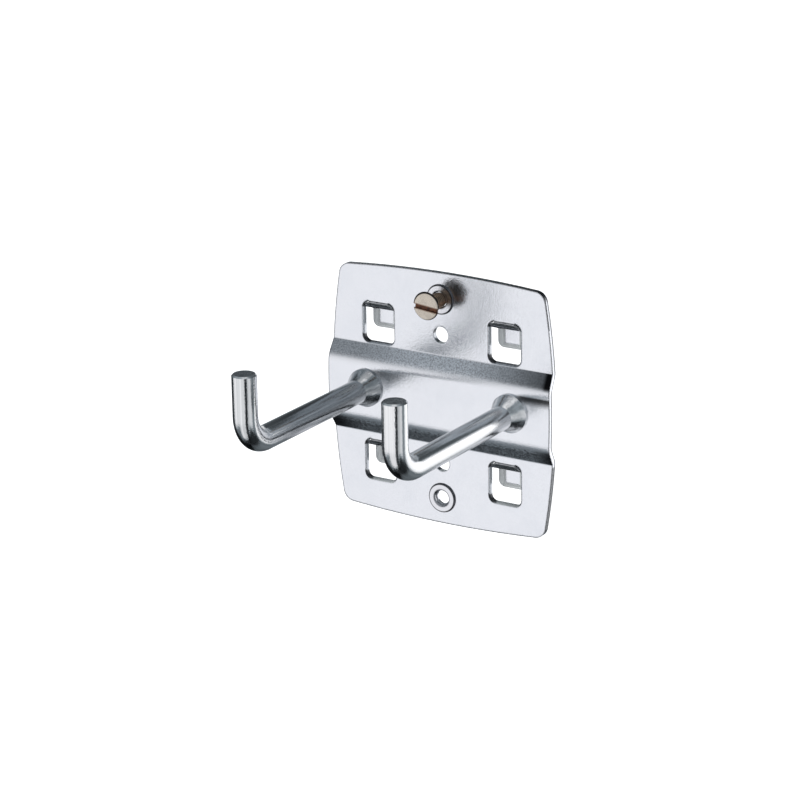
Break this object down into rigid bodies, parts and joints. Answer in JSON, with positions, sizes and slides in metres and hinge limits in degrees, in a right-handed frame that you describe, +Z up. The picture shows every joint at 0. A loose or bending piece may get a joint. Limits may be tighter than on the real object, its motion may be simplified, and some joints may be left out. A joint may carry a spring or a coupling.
{
  "type": "double tool hook",
  "caption": "Pressed steel back plate with joggled tabs and a locking screw for a square-hole tool panel, carrying parallel bent round bars on which tools hang.",
  "frame": {"origin": "midway between the plain screw holes, on the back of the plate's flanges", "axes": "+X to the right seen from the front, +Y back into the panel, +Z up along the hooks' uprights"},
  "size_m": [0.067, 0.0658, 0.0684],
  "materials": {
    "plate_zinc": "bright zinc plating, satin",
    "bar_zinc": "bright zinc plating, glossy, drawn lengthwise",
    "bush_zinc": "bright zinc plating, turned",
    "screw_zinc": "warm passivated zinc plating"
  },
  "bodies": {
    "holder": {"back_plate": "plate_zinc", "hook_left": "bar_zinc", "hook_right": "bar_zinc", "threaded_bush_upper": "bush_zinc", "threaded_bush_lower": "bush_zinc"},
    "screw": {"locking_screw": "screw_zinc"}
  },
  "joints": [
    {"name": "screw_travel", "type": "slide", "parent": "holder", "child": "screw", "axis": [0, 1, 0], "range_m": [-0.0006, 0.0044]}
  ]
}
